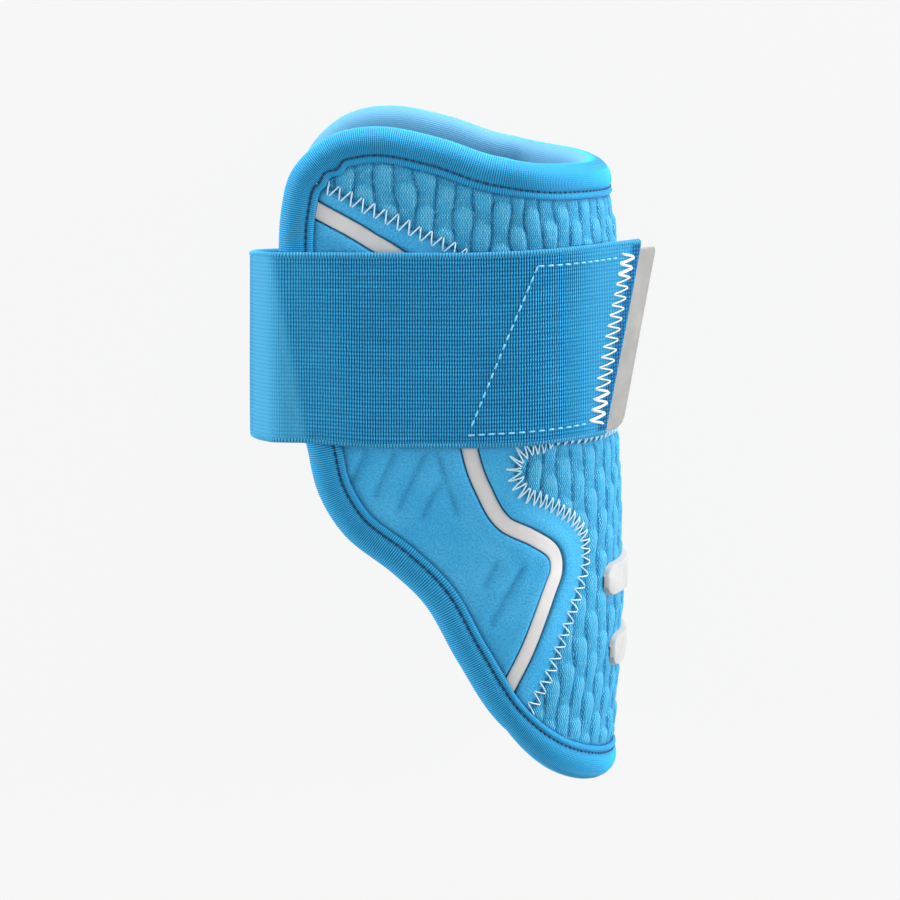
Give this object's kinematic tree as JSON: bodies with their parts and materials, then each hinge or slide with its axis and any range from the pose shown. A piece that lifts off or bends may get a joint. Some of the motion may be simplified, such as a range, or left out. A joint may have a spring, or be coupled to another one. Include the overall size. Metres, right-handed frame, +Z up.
{
  "type": "batter's elbow guard",
  "caption": "Padded U-shaped elbow guard for a batter, with a knitted front, a smooth wrap panel with inlaid stripes, a bound edge and a wide elastic strap that closes round the arm.",
  "frame": {"origin": "on the outer face of the strap where the guard rests on its far side, 1.1 mm lower along the arm than the strap's middle on the near side, and straight below the arm axis", "axes": "+X towards the round front, +Y along the arm towards the shoulder, +Z up from the far side to the near side"},
  "size_m": [0.1212, 0.1979, 0.0986],
  "materials": {
    "knit": "quilted jersey knit, sky blue",
    "panel": "brushed loop-faced fabric over moulded foam, sky blue",
    "stripe": "matt moulded film inlay, off-white",
    "lining": "smooth jersey over foam, sky blue",
    "binding": "fine ribbed knit tape, blue",
    "bar": "matt moulded rubber, white",
    "strap": "woven elastic webbing, deep blue",
    "hook": "hook tape, deep blue",
    "tab": "folded rubberised tape, light grey, bare"
  },
  "bodies": {
    "root": {"knit_upper": "knit", "knit_lower": "knit", "wrap_panel": "panel", "stripe_near": "stripe", "stripe_far": "stripe", "lining": "lining", "edge_binding": "binding", "front_bar_upper": "bar", "front_bar_lower": "bar", "strap": "strap", "hook_patch": "hook", "pull_tab": "tab"}
  },
  "joints": []
}
